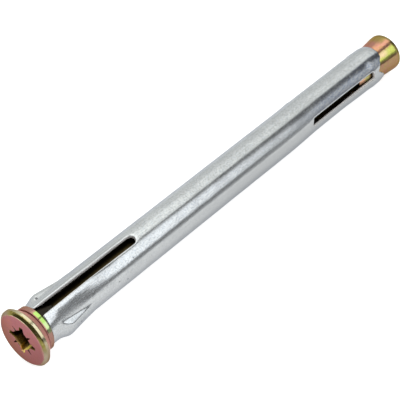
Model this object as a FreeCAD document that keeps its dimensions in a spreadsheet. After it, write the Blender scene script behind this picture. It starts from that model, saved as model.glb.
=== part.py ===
import FreeCAD, Part
import math
import os
import Sketcher

# Metal frame fixing: a countersunk cross-recess screw, a cone bush under its
# head, a rolled steel sleeve and a cone nut on the screw's end.
# Every piece is drawn along +X from the head's face (x = 0), and then laid
# down so that the head's rim and the sleeve's bulge touch the floor (z = 0).

os.makedirs("parts", exist_ok=True)
doc = FreeCAD.newDocument("frame_fixing")

# ---------------------------------------------------------------- dimensions
DIMS = [
    ("overall_len", 132.0, "head face to nut end"),
    ("head_rad", 7.0, "head rim radius"),
    ("face_rad", 6.3, "flat of the head face"),
    ("rim_front", 0.70, "rim starts"),
    ("rim_back", 1.35, "rim ends, 90 degree countersink starts"),
    ("shank_rad", 2.95, "thread crest envelope"),
    ("shank_end", 131.0, "screw end"),
    ("shank_bevel", 0.7, "end bevel"),
    ("wing_len", 3.85, "recess wing reach at the face"),
    ("wing_wide", 1.35, "recess wing width at the face"),
    ("wing_len_low", 1.75, "recess wing reach at depth"),
    ("wing_wide_low", 1.05, "recess wing width at depth"),
    ("recess_deep", 3.3, "recess depth"),
    ("core_rad", 2.25, "recess core radius at the face"),
    ("core_rad_low", 1.35, "recess core radius at depth"),
    ("tick_in", 2.5, "tick mark inner end"),
    ("tick_out", 3.7, "tick mark outer end"),
    ("tick_wide", 0.3, "tick mark width"),
    ("tick_deep", 0.35, "tick mark depth"),
    ("bush_rad", 5.42, "bush collar radius"),
    ("bush_front", 3.21, "bush lip"),
    ("bush_seat_rad", 5.31, "bush seat edge"),
    ("bush_back", 4.62, "bush collar ends"),
    ("bush_bore", 3.25, "bush bore"),
    ("bush_cone_rad", 4.60, "bush cone start"),
    ("bush_cone_start", 4.78, "bush cone starts"),
    ("bush_end", 9.0, "bush end"),
    ("bush_end_rad", 3.72, "bush end radius"),
    ("tube_rad", 5.0, "sleeve outer radius"),
    ("neck_rad", 4.97, "sleeve radius at its head end, between the ribs"),
    ("neck_end", 17.4, "the neck's slight taper ends"),
    ("tube_bore", 4.2, "sleeve inner radius"),
    ("tube_start", 4.9, "sleeve head end"),
    ("tube_end", 125.7, "sleeve tip end"),
    ("mouth_rad", 4.72, "sleeve mouth inner radius"),
    ("mouth_end", 7.1, "sleeve mouth flare ends"),
    ("pinch_rad", 4.9, "sleeve radius over the tip slots"),
    ("pinch_start", 94.0, "pinch starts"),
    ("pinch_end", 106.0, "pinch ends"),
    ("bulge_rad", 5.2, "bulge over the nut"),
    ("bulge_start", 119.0, "bulge rises"),
    ("bulge_top", 122.0, "bulge crest starts"),
    ("bulge_fall", 123.6, "bulge crest ends"),
    ("end_rad", 4.86, "sleeve tip outer radius"),
    ("flare_start", 118.6, "inner flare starts"),
    ("flare_rad", 4.63, "inner flare radius at the tip end"),
    ("head_slot_wide", 2.7, "head slot width"),
    ("head_slot_end", 34.4, "head slot far end"),
    ("tip_slot_wide", 1.9, "tip slot width"),
    ("tip_slot_start", 94.9, "tip slot starts"),
    ("tip_slot_end", 120.7, "tip slot ends"),
    ("seam_wide", 1.6, "gap of the rolled seam"),
    ("rib_rad", 6.2, "rib crest radius"),
    ("rib_in_rad", 5.35, "rib crest radius inside"),
    ("rib_start", 5.6, "rib foot, head side"),
    ("rib_crest", 9.0, "rib crest"),
    ("rib_tail", 17.0, "rib foot, tip side"),
    ("nut_start", 115.9, "nut small end"),
    ("nut_small", 3.66, "nut small end radius"),
    ("nut_large", 5.04, "nut large end radius"),
    ("nut_rim", 130.9, "nut rim starts"),
    ("nut_bore", 3.0, "nut thread envelope"),
    ("nut_edge", 0.35, "nut edge bevel"),
]
sheet = doc.addObject("Spreadsheet::Sheet", "dims")
sheet.Label = "dims"
D = {}
for row, (name, value, note) in enumerate(DIMS, start=1):
    sheet.set("A%d" % row, name)
    sheet.set("B%d" % row, repr(value))
    sheet.set("C%d" % row, note)
    sheet.setAlias("B%d" % row, name)
    D[name] = value
doc.recompute()


def value(expr):
    """Number of an expression that names cells of the sheet."""
    names = dict(D)
    names["sin"] = lambda deg: math.sin(math.radians(deg))
    names["cos"] = lambda deg: math.cos(math.radians(deg))
    total = 0.0
    # sums of products of cell names, numbers, sin() and cos()
    for sign, term in terms(expr):
        prod = sign
        for fac in term.split("*"):
            fac = fac.strip()
            if fac.startswith("sin("):
                prod *= names["sin"](float(fac[4:-1]))
            elif fac.startswith("cos("):
                prod *= names["cos"](float(fac[4:-1]))
            elif fac in D:
                prod *= D[fac]
            else:
                prod *= float(fac)
        total += prod
    return total


def terms(expr):
    out = []
    text = expr.replace(" ", "")
    sign, cur = 1.0, ""
    for ch in text:
        if ch in "+-" and cur:
            out.append((sign, cur))
            sign, cur = (1.0 if ch == "+" else -1.0), ""
        elif ch == "-":
            sign = -sign
        else:
            cur += ch
    out.append((sign, cur))
    return out


def cells(expr):
    """The same expression with the sheet's name before each cell."""
    out, word = "", ""
    for ch in expr + " ":
        if ch.isalnum() or ch == "_" or ch == ".":
            word += ch
        else:
            out += ("dims." + word) if word in D else word
            out += ch
            word = ""
    return out.strip()


def plane(body, role):
    for feat in body.Origin.OriginFeatures:
        if feat.Role == role:
            return feat
    raise RuntimeError(role)


def new_sketch(body, name, role, offset=None, shift=None):
    sk = body.newObject("Sketcher::SketchObject", name)
    sk.AttachmentSupport = [(plane(body, role), "")]
    sk.MapMode = "FlatFace"
    if offset is not None:
        sk.AttachmentOffset = offset
    if shift is not None:
        sk.setExpression("AttachmentOffset.Base.z", cells(shift))
    return sk


def bind(sk, axis, geo, pos, expr, tag):
    """Hold one coordinate of a vertex to an expression of the sheet."""
    val = value(expr)
    if abs(val) < 1e-9:
        sk.addConstraint(Sketcher.Constraint("PointOnObject", geo, pos,
                                             -2 if axis == "X" else -1))
        return
    kind = "Distance" + axis
    if val > 0:
        con = Sketcher.Constraint(kind, -1, 1, geo, pos, val)
        text = cells(expr)
    else:
        con = Sketcher.Constraint(kind, geo, pos, -1, 1, -val)
        text = "-(" + cells(expr) + ")"
    idx = sk.addConstraint(con)
    sk.renameConstraint(idx, tag)
    sk.setExpression("Constraints." + tag, text)


def outline(sk, points):
    """Closed polygon whose vertices are held to the sheet."""
    pts = [FreeCAD.Vector(value(a), value(b), 0) for a, b in points]
    n = len(pts)
    for i in range(n):
        sk.addGeometry(Part.LineSegment(pts[i], pts[(i + 1) % n]), False)
    for i in range(n):
        sk.addConstraint(Sketcher.Constraint("Coincident", i, 2, (i + 1) % n, 1))
    for i, (a, b) in enumerate(points):
        bind(sk, "X", i, 1, a, "px%d" % i)
        bind(sk, "Y", i, 1, b, "py%d" % i)


def disc(sk, cx, rad):
    """Circle on the sketch's horizontal axis, held to the sheet."""
    sk.addGeometry(Part.Circle(FreeCAD.Vector(value(cx), 0, 0),
                               FreeCAD.Vector(0, 0, 1), value(rad)), False)
    bind(sk, "X", 0, 3, cx, "cx")
    sk.addConstraint(Sketcher.Constraint("PointOnObject", 0, 3, -1))
    idx = sk.addConstraint(Sketcher.Constraint("Radius", 0, value(rad)))
    sk.renameConstraint(idx, "round_size")
    sk.setExpression("Constraints.round_size", cells(rad))


def new_body(name):
    body = doc.addObject("PartDesign::Body", name)
    body.Label = name
    return body


def revolve(body, points, name):
    sk = new_sketch(body, name + "_sketch", "XY_Plane")
    outline(sk, points)
    rev = body.newObject("PartDesign::Revolution", name)
    rev.Profile = sk
    rev.ReferenceAxis = (sk, ["H_Axis"])
    rev.Angle = 360.0
    body.Tip = rev
    doc.recompute()
    return rev


def cut_out(body, sk, name, length):
    """Cut along the sketch's own normal, away from the axis."""
    before = body.Shape.Volume
    cut = body.newObject("PartDesign::Pocket", name)
    cut.Profile = sk
    cut.Type = 0
    cut.Length = length
    cut.Reversed = True
    body.Tip = cut
    doc.recompute()
    gone = before - body.Shape.Volume
    print("%-16s cuts %8.3f mm3" % (name, gone))
    if gone < 0.01:
        raise RuntimeError(name + " cuts nothing")
    return cut


def turned(deg, base=(0, 0, 0)):
    """Sketch plane turned about the long axis: its normal leaves +Z by deg."""
    return FreeCAD.Placement(FreeCAD.Vector(*base),
                             FreeCAD.Rotation(FreeCAD.Vector(1, 0, 0), deg))


def loft(body, kind, name, sections):
    before = body.Shape.Volume
    lo = body.newObject("PartDesign::" + kind, name)
    lo.Profile = sections[0]
    lo.Sections = sections[1:]
    lo.Ruled = True
    body.Tip = lo
    doc.recompute()
    change = body.Shape.Volume - before
    print("%-16s changes %8.3f mm3" % (name, change))
    if abs(change) < 0.01:
        raise RuntimeError(name + " changes nothing")
    return lo


# ------------------------------------------------------------------- screw
screw = new_body("screw")
revolve(screw, [
    ("0", "0"),
    ("0", "face_rad"),
    ("0.28*rim_front", "face_rad + 0.62*head_rad - 0.62*face_rad"),
    ("rim_front", "head_rad"),
    ("rim_back", "head_rad"),
    ("rim_back + head_rad - shank_rad", "shank_rad"),
    ("shank_end - shank_bevel", "shank_rad"),
    ("shank_end", "shank_rad - shank_bevel"),
    ("shank_end", "0"),
], "screw_turning")


def cross(sk, reach, wide):
    """Four-winged outline with its wings on the sketch's axes."""
    pts = []
    for k in range(4):
        c, s = [(1, 0), (0, 1), (-1, 0), (0, -1)][k]
        for along, side in ((reach, "-0.5*" + wide), (reach, "0.5*" + wide),
                            ("0.5*" + wide, "0.5*" + wide)):
            # turn (along, side) by k quarter turns
            if k == 0:
                pts.append((along, side))
            elif k == 1:
                pts.append((neg(side), along))
            elif k == 2:
                pts.append((neg(along), neg(side)))
            else:
                pts.append((side, neg(along)))
    outline(sk, pts)


def neg(expr):
    return expr[1:] if expr.startswith("-") else "-" + expr


SCREW_SPIN = 3.46           # turn of the screw in its bush, degrees
RECESS_TURN = 1.35 - SCREW_SPIN   # wings' angle about the axis, degrees from +Z
top = new_sketch(screw, "recess_top", "YZ_Plane",
                 FreeCAD.Placement(FreeCAD.Vector(0, 0, 0),
                                   FreeCAD.Rotation(FreeCAD.Vector(0, 0, 1), RECESS_TURN)))
cross(top, "wing_len", "wing_wide")
low = new_sketch(screw, "recess_low", "YZ_Plane",
                 FreeCAD.Placement(FreeCAD.Vector(0, 0, D["recess_deep"]),
                                   FreeCAD.Rotation(FreeCAD.Vector(0, 0, 1), RECESS_TURN)),
                 "recess_deep")
cross(low, "wing_len_low", "wing_wide_low")
doc.recompute()
loft(screw, "SubtractiveLoft", "recess_wings", [top, low])

core = new_sketch(screw, "recess_core_sketch", "XY_Plane")
outline(core, [
    ("0", "0"),
    ("0", "core_rad"),
    ("recess_deep", "core_rad_low"),
    ("recess_deep + 0.45*core_rad_low", "0"),
])
before = screw.Shape.Volume
groove = screw.newObject("PartDesign::Groove", "recess_core")
groove.Profile = core
groove.ReferenceAxis = (core, ["H_Axis"])
groove.Angle = 360.0
screw.Tip = groove
doc.recompute()
print("%-16s cuts %8.3f mm3" % ("recess_core", before - screw.Shape.Volume))
if before - screw.Shape.Volume < 1.0:
    raise RuntimeError("recess_core cuts nothing")

# four short marks between the wings
tick = new_sketch(screw, "tick_sketch", "YZ_Plane",
                  FreeCAD.Placement(FreeCAD.Vector(0, 0, 0),
                                    FreeCAD.Rotation(FreeCAD.Vector(0, 0, 1), RECESS_TURN + 45.0)))
outline(tick, [("tick_in", "-0.5*tick_wide"), ("tick_out", "-0.5*tick_wide"),
               ("tick_out", "0.5*tick_wide"), ("tick_in", "0.5*tick_wide")])
before = screw.Shape.Volume
mark = screw.newObject("PartDesign::Pocket", "tick_mark")
mark.Profile = tick
mark.Type = 0
mark.setExpression("Length", "dims.tick_deep")
mark.Reversed = True
screw.Tip = mark
doc.recompute()
marks = screw.newObject("PartDesign::PolarPattern", "tick_marks")
marks.Originals = [mark]
marks.Axis = (plane(screw, "X_Axis"), [""])
marks.Angle = 360.0
marks.Occurrences = 4
screw.Tip = marks
doc.recompute()
print("%-16s cuts %8.3f mm3" % ("tick_marks", before - screw.Shape.Volume))
if before - screw.Shape.Volume < 0.4:
    raise RuntimeError("tick marks cut too little")

# --------------------------------------------------------------- cone bush
bush = new_body("cone_bush")
revolve(bush, [
    ("bush_front", "bush_seat_rad"),
    ("bush_front", "bush_rad - 0.05"),
    ("bush_front + 0.08", "bush_rad"),
    ("bush_back - 0.22", "bush_rad"),
    ("bush_back - 0.06", "bush_rad - 0.07"),
    ("bush_back", "bush_rad - 0.25"),
    ("bush_cone_start", "bush_cone_rad"),
    ("bush_end - 0.2", "bush_end_rad"),
    ("bush_end", "bush_end_rad - 0.12"),
    ("bush_end", "bush_bore"),
    ("bush_front + bush_seat_rad - bush_bore", "bush_bore"),
], "bush_turning")

# ------------------------------------------------------------------ sleeve
sleeve = new_body("sleeve")
revolve(sleeve, [
    ("tube_start", "mouth_rad"),
    ("tube_start", "neck_rad - 0.12"),
    ("tube_start + 0.15", "neck_rad"),
    ("neck_end", "tube_rad"),
    ("pinch_start - 4", "tube_rad"),
    ("pinch_start + 3", "pinch_rad"),
    ("pinch_end", "pinch_rad"),
    ("bulge_start", "tube_rad + 0.03"),
    ("bulge_top", "bulge_rad"),
    ("bulge_fall", "bulge_rad"),
    ("tube_end - 0.7", "0.35*bulge_rad + 0.65*end_rad + 0.06"),
    ("tube_end", "end_rad"),
    ("tube_end", "flare_rad"),
    ("flare_start", "tube_bore"),
    ("mouth_end", "tube_bore"),
], "sleeve_rolling")

RIBS = (105.0, -75.0)       # rib centres, degrees about the axis from the head slot
for n, ang in enumerate(RIBS, start=1):
    def rib_sketch(name, at, poly):
        sk = new_sketch(sleeve, name, "YZ_Plane",
                        FreeCAD.Placement(FreeCAD.Vector(0, 0, value(at)),
                                          FreeCAD.Rotation(FreeCAD.Vector(0, 0, 1), ang)), at)
        outline(sk, [("-%s*sin(%g)" % (r, -a) if a < 0 else "%s*sin(%g)" % (r, a),
                      "%s*cos(%g)" % (r, abs(a))) for r, a in poly])
        return sk
    # outer skin of the pressed rib
    outer = [
        rib_sketch("rib%d_out_a" % n, "rib_start",
                   [("4.72", -36), ("4.9", -31), ("4.94", 0), ("4.9", 31), ("4.72", 36),
                    ("4.74", 18), ("4.74", 0), ("4.74", -18)]),
        rib_sketch("rib%d_out_b" % n, "rib_crest",
                   [("4.6", -41), ("rib_rad", -29), ("rib_rad", 0), ("rib_rad", 29), ("4.6", 41),
                    ("4.5", 20), ("4.45", 0), ("4.5", -20)]),
        rib_sketch("rib%d_out_c" % n, "rib_tail",
                   [("4.5", -36), ("4.86", -31), ("4.9", 0), ("4.86", 31), ("4.5", 36),
                    ("4.5", 18), ("4.5", 0), ("4.5", -18)]),
    ]
    doc.recompute()
    loft(sleeve, "AdditiveLoft", "rib%d_skin" % n, outer)
    inner = [
        rib_sketch("rib%d_in_a" % n, "rib_start + 0.9",
                   [("3.4", -33), ("4.1", -30), ("4.1", 0), ("4.1", 30), ("3.4", 33), ("3.3", 0)]),
        rib_sketch("rib%d_in_b" % n, "rib_crest + 0.3",
                   [("3.4", -33), ("rib_in_rad", -27), ("rib_in_rad", 0), ("rib_in_rad", 27), ("3.4", 33), ("3.3", 0)]),
        rib_sketch("rib%d_in_c" % n, "rib_tail - 1.5",
                   [("3.4", -33), ("4.1", -30), ("4.1", 0), ("4.1", 30), ("3.4", 33), ("3.3", 0)]),
    ]
    doc.recompute()
    loft(sleeve, "SubtractiveLoft", "rib%d_hollow" % n, inner)

# head slot, open at the sleeve's head end, with a round far end
sk = new_sketch(sleeve, "head_slot_sketch", "XY_Plane")
outline(sk, [("tube_start - 1", "-0.5*head_slot_wide"),
             ("head_slot_end - 0.5*head_slot_wide", "-0.5*head_slot_wide"),
             ("head_slot_end - 0.5*head_slot_wide", "0.5*head_slot_wide"),
             ("tube_start - 1", "0.5*head_slot_wide")])
doc.recompute()
cut_out(sleeve, sk, "head_slot", 9.0)
sk = new_sketch(sleeve, "head_slot_round_sketch", "XY_Plane")
disc(sk, "head_slot_end - 0.5*head_slot_wide", "0.5*head_slot_wide")
doc.recompute()
cut_out(sleeve, sk, "head_slot_round", 9.0)

# two closed tip slots
for n, ang in enumerate((67.2, -60.5), start=1):
    sk = new_sketch(sleeve, "tip_slot%d_sketch" % n, "XY_Plane", turned(ang))
    outline(sk, [("tip_slot_start", "-0.5*tip_slot_wide"),
                 ("tip_slot_end", "-0.5*tip_slot_wide"),
                 ("tip_slot_end", "0.5*tip_slot_wide"),
                 ("tip_slot_start", "0.5*tip_slot_wide")])
    doc.recompute()
    cut_out(sleeve, sk, "tip_slot%d" % n, 9.0)

# rolled seam, about opposite the head slot, along the whole sleeve: the
# fixing lies on its two edges
SLEEVE_SPIN = 4.85          # turn of the sleeve about its axis, degrees
sk = new_sketch(sleeve, "seam_sketch", "XY_Plane", turned(180.0 - SLEEVE_SPIN))
outline(sk, [("tube_start - 1", "-0.5*seam_wide"),
             ("tube_end + 1", "-0.5*seam_wide"),
             ("tube_end + 1", "0.5*seam_wide"),
             ("tube_start - 1", "0.5*seam_wide")])
doc.recompute()
cut_out(sleeve, sk, "seam", 9.0)

# ---------------------------------------------------------------- cone nut
nut = new_body("cone_nut")
revolve(nut, [
    ("nut_start", "nut_bore + nut_edge"),
    ("nut_start", "nut_small - 0.25"),
    ("nut_start + 0.25", "nut_small"),
    ("nut_rim", "nut_large"),
    ("overall_len - nut_edge", "nut_large"),
    ("overall_len", "nut_large - nut_edge"),
    ("overall_len", "nut_bore + nut_edge"),
    ("overall_len - nut_edge", "nut_bore"),
    ("nut_start + nut_edge", "nut_bore"),
], "nut_turning")

# ------------------------------------------------------------ laying it down
X = FreeCAD.Vector(1, 0, 0)
Y = FreeCAD.Vector(0, 1, 0)
# the bulge stands on the two edges of the seam
bulge_stand = math.sqrt(D["bulge_rad"] ** 2 - (0.5 * D["seam_wide"]) ** 2)
tilt = math.degrees(math.atan((D["head_rad"] - bulge_stand) / (D["bulge_fall"] - D["rim_back"])))
lay = FreeCAD.Placement(FreeCAD.Vector(0, 0, 0), FreeCAD.Rotation(Y, tilt))

# The sleeve and the bush sit a little off the screw's axis at the head end.
off_dir = FreeCAD.Vector(0, 0.8256, 0.5641)
lean_axis = FreeCAD.Vector(0, 0.5641, -0.8256)
pivot = FreeCAD.Vector(112, 0, 0)
lean = FreeCAD.Placement(FreeCAD.Vector(0, 0, 0), FreeCAD.Rotation(lean_axis, 0.107), pivot)
spin_sleeve = FreeCAD.Placement(FreeCAD.Vector(0, 0, 0), FreeCAD.Rotation(X, SLEEVE_SPIN))
spin_screw = FreeCAD.Placement(FreeCAD.Vector(0, 0, 0), FreeCAD.Rotation(X, SCREW_SPIN))
shift_bush = FreeCAD.Placement(off_dir * 0.14, FreeCAD.Rotation())

local = {
    "screw": spin_screw,
    "cone_bush": shift_bush,
    "sleeve": lean.multiply(spin_sleeve),
    "cone_nut": FreeCAD.Placement(),
}
bodies = {"screw": screw, "cone_bush": bush, "sleeve": sleeve, "cone_nut": nut}
for name, body in bodies.items():
    body.Placement = lay.multiply(local[name])
doc.recompute()

everything = Part.makeCompound([b.Shape for b in bodies.values()])
box = everything.optimalBoundingBox(False)
move = FreeCAD.Vector(-0.5 * (box.XMin + box.XMax), -0.5 * (box.YMin + box.YMax), -box.ZMin)
for name, body in bodies.items():
    body.Placement = FreeCAD.Placement(move, FreeCAD.Rotation()).multiply(lay.multiply(local[name]))
doc.recompute()

# ------------------------------------------------------------------ checks
bad = [o.Name for o in doc.Objects if "Invalid" in o.State or "Error" in o.State]
if bad:
    raise RuntimeError("failed objects: " + ", ".join(bad))
for name, body in bodies.items():
    shape = body.Shape
    if shape.isNull() or not shape.isValid() or len(shape.Solids) != 1:
        raise RuntimeError(name + " is not one valid solid")
    print("%-10s volume %9.2f mm3, solids %d" % (name, shape.Volume, len(shape.Solids)))
names = sorted(bodies)
for i, a in enumerate(names):
    for b in names[i + 1:]:
        both = bodies[a].Shape.common(bodies[b].Shape)
        print("overlap %s/%s %.5f mm3, gap %.3f mm" % (a, b, both.Volume,
              bodies[a].Shape.distToShape(bodies[b].Shape)[0]))
box = Part.makeCompound([b.Shape for b in bodies.values()]).optimalBoundingBox(False)
print("box", [round(v, 4) for v in (box.XMin, box.YMin, box.ZMin, box.XMax, box.YMax, box.ZMax)])
print("tilt %.4f deg, move %s" % (tilt, move))
for name, point in (("head_centre", (0, 0, 0)), ("pin_centre", (64, 0, 0)), ("nut_end", (132, 0, 0))):
    where = bodies["screw"].Placement.multVec(FreeCAD.Vector(*point))
    print(name, [round(c, 4) for c in where])
where = bodies["sleeve"].Placement
print("sleeve_mid", [round(c, 4) for c in where.multVec(FreeCAD.Vector(64, 0, 0))],
      "axis", [round(c, 6) for c in where.Rotation.multVec(FreeCAD.Vector(1, 0, 0))])
print("screw axis", [round(c, 6) for c in bodies["screw"].Placement.Rotation.multVec(FreeCAD.Vector(1, 0, 0))])

for name, body in bodies.items():
    body.Shape.exportStep("parts/%s.step" % name)
print("written", names)
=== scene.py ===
import math

import bpy
import numpy as np
from mathutils import Matrix, Vector, geometry


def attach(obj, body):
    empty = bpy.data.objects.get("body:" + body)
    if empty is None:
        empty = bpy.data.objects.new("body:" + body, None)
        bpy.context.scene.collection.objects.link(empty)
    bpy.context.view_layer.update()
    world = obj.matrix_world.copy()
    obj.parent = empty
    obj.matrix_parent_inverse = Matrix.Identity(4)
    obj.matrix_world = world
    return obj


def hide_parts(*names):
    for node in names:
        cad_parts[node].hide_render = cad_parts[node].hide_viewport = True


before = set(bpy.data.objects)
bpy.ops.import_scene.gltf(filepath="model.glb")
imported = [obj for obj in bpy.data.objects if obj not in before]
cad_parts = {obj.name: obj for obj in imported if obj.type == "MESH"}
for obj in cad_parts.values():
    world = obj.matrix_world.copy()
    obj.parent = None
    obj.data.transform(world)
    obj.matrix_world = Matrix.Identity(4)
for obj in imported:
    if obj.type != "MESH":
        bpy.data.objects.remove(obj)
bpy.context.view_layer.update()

MM = 0.001

# ------------------------------------------------------------------ places
# Every piece is drawn in millimetres along +X from the head's face (x = 0).
# An angle about the axis is counted from +Z towards -Y.
BULGE_STAND = math.sqrt(5.2 ** 2 - 0.8 ** 2)
TILT = math.atan((7.0 - BULGE_STAND) / (123.6 - 1.35))
MOVE = Vector((-65.98009, 0.0, 7.044255))
SCALE = Matrix.Diagonal((MM, MM, MM, 1.0))
LAY = SCALE @ Matrix.Translation(MOVE) @ Matrix.Rotation(TILT, 4, "Y")
SLEEVE_SPIN = math.radians(4.85)
SCREW_SPIN = math.radians(3.46)
PIVOT = Vector((112.0, 0.0, 0.0))
LEAN = (Matrix.Translation(PIVOT)
        @ Matrix.Rotation(math.radians(0.107), 4, Vector((0, 0.5641, -0.8256)))
        @ Matrix.Translation(-PIVOT))
PLACE = {
    "screw": LAY @ Matrix.Rotation(SCREW_SPIN, 4, "X"),
    "bush": LAY,
    "sleeve": LAY @ LEAN @ Matrix.Rotation(SLEEVE_SPIN, 4, "X"),
    "nut": LAY,
}


def cyl(x, r, deg):
    """Points at radius r and angle deg about the x axis."""
    a = np.radians(deg)
    x, r, a = np.broadcast_arrays(x, r, a)
    return np.stack([x, -r * np.sin(a), r * np.cos(a)], -1)


def build(name, verts, faces, place, body, nodes, mats, mat_index=None,
          sharp_deg=35.0):
    me = bpy.data.meshes.new(name)
    me.from_pydata([tuple(v) for v in np.asarray(verts, float)], [], [tuple(f) for f in faces])
    me.transform(place)
    for m in mats:
        me.materials.append(m)
    if mat_index is not None:
        me.polygons.foreach_set("material_index", np.asarray(mat_index, np.int32))
    me.validate()
    me.update()
    me.shade_smooth()
    me.set_sharp_from_angle(angle=math.radians(sharp_deg))
    ob = bpy.data.objects.new(name, me)
    bpy.context.scene.collection.objects.link(ob)
    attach(ob, body)
    if nodes:
        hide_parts(*nodes)
    return ob


def smooth01(t):
    t = np.clip(t, 0.0, 1.0)
    return t * t * (3.0 - 2.0 * t)


def smin(a, b, k):
    h = np.clip(0.5 + 0.5 * (b - a) / k, 0.0, 1.0)
    return b + (a - b) * h - k * h * (1.0 - h)


def smax(a, b, k):
    return -smin(-a, -b, k)


def eased(x, xs, ys):
    """Piecewise curve through the points with soft corners."""
    x = np.asarray(x, float)
    out = np.full(x.shape, float(ys[0]))
    for i in range(len(xs) - 1):
        t = smooth01((x - xs[i]) / (xs[i + 1] - xs[i]))
        out = np.where(x > xs[i], ys[i] + (ys[i + 1] - ys[i]) * t, out)
    return out


def wave(x, a, seeds, size):
    """Soft seeded unevenness over the length x and the angle a in degrees."""
    rng = np.random.default_rng(seeds)
    out = np.zeros(np.broadcast(x, a).shape)
    for k in range(7):
        n = rng.integers(1, 5)
        f = rng.uniform(0.03, 0.22)
        out = out + np.sin(f * x * 2 * math.pi / 1.7 + rng.uniform(0, 6.28)
                           + n * np.radians(a)) * rng.uniform(0.4, 1.0)
    return out * size / 4.0


# ------------------------------------------------------------------ sleeve
SEAM_AT = 180.0 - 4.85           # seam's angle in the sleeve's own turn
TUBE_R = 5.0
WALL = 0.8
RIBS = (105.0, -75.0)
ARC = math.radians(1.0) * TUBE_R  # arc length of a degree on the sheet, mm


def ang_diff(a, b):
    return (a - b + 180.0) % 360.0 - 180.0


def rib_height(x, a):
    """Two pressed ribs: a steep front, a flat crest and flanks that taper to the tail."""
    total = np.zeros(np.broadcast(x, a).shape)
    for c, sign, crest, run, tail in ((105.0, 1.0, 10.1, 3.1, 17.7), (-75.0, -1.0, 8.15, 2.9, 15.6)):
        d = ang_diff(a, c)
        bend = smooth01(np.abs(d) / 40.0)
        crest_x = crest - 0.25 * bend
        front = (x - (crest_x - run + 0.9 * bend)) / (run - 0.9 * bend)
        back = np.clip((tail - x) / (tail - crest_x), 0.0, 1.04) ** (1.22 if sign > 0 else 1.0)
        s = x - (crest - 10.0)
        foot = np.interp(s, [6.0, 7.2, 8.9, 15.5, 17.6], [44.5, 44.0, 41.5, 34.5, 33.0])
        edge = np.interp(s, [8.0, 16.0], [27.0, 31.5])
        frac = (foot - np.abs(d)) / (foot - edge)
        crown = 0.86 + 0.14 * np.clip(np.abs(d) / 27.0, 0, 1) ** 2
        frac = smin(frac, np.full(frac.shape, 1.0), 0.34)
        side = back * frac
        soft = 0.30 + 0.20 * smooth01((8.3 - s) / 2.2)
        h = smin(front, side, soft)
        h = smax(h, np.zeros_like(h), 0.27)
        # a nick where the press's corner has marked the strip
        nick = np.exp(-((s - 7.35 - 0.05 * (46 - np.abs(d))) / 0.22) ** 2)
        nick = nick * np.exp(-((np.abs(d) - 39.0) / 8.0) ** 2)
        fade = smooth01((18.6 - x) / 2.2) * smooth01((61.0 - np.abs(d)) / 12.0)
        total = total + (0.97 * crown * h - 0.05 * nick) * fade
    return total


def tip_edge(a):
    """Where the sleeve's tip ends at angle a."""
    d = ang_diff(a, 60.0)
    dent = eased(d, [-44.0, -30.0, -16.0, -4.0, 8.0, 17.0, 30.0, 42.0],
                 [0.0, 0.35, 1.55, 2.3, 2.95, 1.9, 0.6, 0.0])
    e = ang_diff(a, -60.0)
    return (125.55 + 0.12 * np.sin(np.radians(2.0 * a + 40)) - dent
            - 0.5 * np.exp(-(e / 9.0) ** 2))


def slot_lips(x, a):
    """The head slot's lips stand up where the bush has spread the slot, the lower one more."""
    on = (0.5 + 0.5 * smooth01((x - 4.9) / 3.6)) * smooth01((27 - x) / 11)
    d = ang_diff(a, 0.0)
    lip = np.interp(d, [0, 15, 17, 19, 21.5, 25, 28, 31, 35, 40, 45, 50],
                    [0.62, 0.62, 0.62, 0.605, 0.56, 0.455, 0.36, 0.272, 0.172, 0.078, 0.021, 0.0])
    # steeper and wider beside the bush
    lip = lip + smooth01((17.0 - x) / 5.5) * np.interp(
        d, [0, 17, 21.5, 25, 28, 31, 35, 40, 45, 50, 54, 56],
        [0.16, 0.158, 0.148, 0.132, 0.118, 0.105, 0.087, 0.074, 0.061, 0.032, 0.008, 0.0])
    u = np.clip((40.0 + d) / 24.0, 0.0, 1.0) * (d < 0)
    return (lip * (d > 0) + 0.16 * smooth01(u)) * on


def sleeve_outer(x, a):
    r = eased(x, [4.9, 17.4, 112.5, 118.6, 121.7, 123.3, 125.7, 127.0],
              [4.97, 5.0, 5.0, 5.02, 5.185, 5.17, 4.88, 4.83])
    # the strip is drawn in along the tip slots, more on the lower side
    waist = eased(x, [88.0, 98.0, 107.0, 118.0], [0.0, 1.0, 1.0, 0.0])
    r = r - 0.105 * (1.0 + np.cos(np.radians(a - 120.0))) * waist
    r = r + 0.03 * (1.0 + np.cos(np.radians(a - 120.0))) * np.exp(-((x - 82.0) / 13.0) ** 2)
    r = r + wave(x, a, 11, 0.012)
    # one slot's lips are drawn in a little and the other's stand up, and both
    # ends are pressed down where the strip grips the nut's cone
    for c, s, lift in ((66.7, 0.75, -0.04), (-60.5, 0.8, 0.19)):
        d = ang_diff(a, c)
        near = np.exp(-(d / 24.0) ** 2) * smooth01((x - 91) / 6) * smooth01((121.5 - x) / 5)
        r = r + lift * near
        dent = np.exp(-(d / 13.0) ** 2) * np.exp(-((x - 123.0) / 1.8) ** 2)
        r = r - 0.22 * s * dent
        # a flat beside the slot's end
        r = r - 0.09 * (s < 0.78) * np.exp(-((d + 26.0) / 11.0) ** 2) * np.exp(-((x - 122.6) / 1.7) ** 2)
    r = r + slot_lips(x, a)
    # corner of the head end turns in
    r = r - 0.06 * np.exp(-((x - 4.7) / 0.3) ** 2)
    return r + rib_height(x, a)


def sleeve_inner(x, a):
    r = eased(x, [4.9, 7.1, 118.6, 127.0], [4.72, 4.21, 4.21, 4.68])
    return r + 0.93 * rib_height(x, a) * smooth01((x - 5.0) / 1.5) + 0.9 * slot_lips(x, a)


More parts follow.
